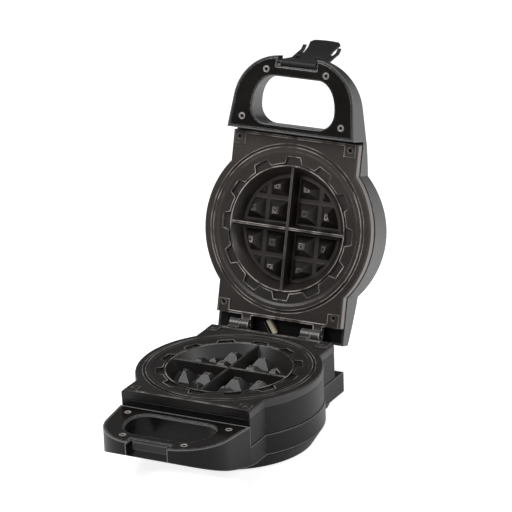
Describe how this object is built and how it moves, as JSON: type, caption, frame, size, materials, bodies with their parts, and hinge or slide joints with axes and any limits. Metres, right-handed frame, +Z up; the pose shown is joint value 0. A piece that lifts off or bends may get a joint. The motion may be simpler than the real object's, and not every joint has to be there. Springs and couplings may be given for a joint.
{
  "type": "stuffed waffle maker",
  "caption": "Countertop stuffed waffle maker with deep round plates, hinged lid, hand-hole handles and a swing latch.",
  "frame": {"origin": "centre of the bounding box on the worktop, under the feet, with the lid open", "axes": "+Z up, +Y towards the hinge and away from the handles, +X to the right seen from the handles"},
  "size_m": [0.226, 0.4945, 0.4166],
  "materials": {
    "nonstick_plate": "satin non-stick coating",
    "shell_black": "gloss",
    "casing_black": "satin",
    "handle_gloss": "gloss",
    "latch_grey": "fine matte",
    "steel": "bright",
    "element_steel": "heat-darkened",
    "reflector_metal": "bright sheet",
    "foot_rubber": "matte",
    "sleeve_cream": "woven glass-fibre",
    "lens_red": "clear gloss",
    "lens_green": "clear gloss",
    "block_white": "matte"
  },
  "bodies": {
    "base": {"lower_plate": "nonstick_plate", "lower_plate_screws": "steel", "hinge_pin_left": "steel", "hinge_pin_right": "steel", "lower_heater": "element_steel", "lower_heater_clamps": "steel", "lower_reflector": "reflector_metal", "base_casing": "casing_black", "base_shell": "shell_black", "bottom_cover": "casing_black", "bottom_cover_screws": "steel", "front_left_foot": "foot_rubber", "front_right_foot": "foot_rubber", "rear_left_foot": "foot_rubber", "rear_right_foot": "foot_rubber", "base_handle_cover": "handle_gloss", "base_handle_screws": "steel", "latch_keeper": "latch_grey", "cord_gland": "foot_rubber", "thermostat": "steel", "terminal_block": "block_white"},
    "lid": {"upper_plate": "nonstick_plate", "upper_plate_screws": "steel", "upper_heater": "element_steel", "upper_heater_clamps": "steel", "upper_reflector": "reflector_metal", "lid_shell": "shell_black", "lid_liner": "casing_black", "lid_handle_cover": "handle_gloss", "lid_handle_screws": "steel", "power_light": "lens_red", "ready_light": "lens_green", "latch_pin": "steel", "wire_sleeve": "sleeve_cream", "thermal_fuse": "steel"},
    "latch": {"latch": "latch_grey"}
  },
  "joints": [
    {"name": "lid_hinge", "type": "hinge", "parent": "base", "child": "lid", "pos_m": [0, 0.08489, 0.094], "axis": [1, 0, 0], "range_deg": [0, 106.6]},
    {"name": "latch_hinge", "type": "hinge", "parent": "lid", "child": "latch", "pos_m": [0, 0.16874, 0.40678], "axis": [1, 0, 0], "range_deg": [0, 160]}
  ]
}
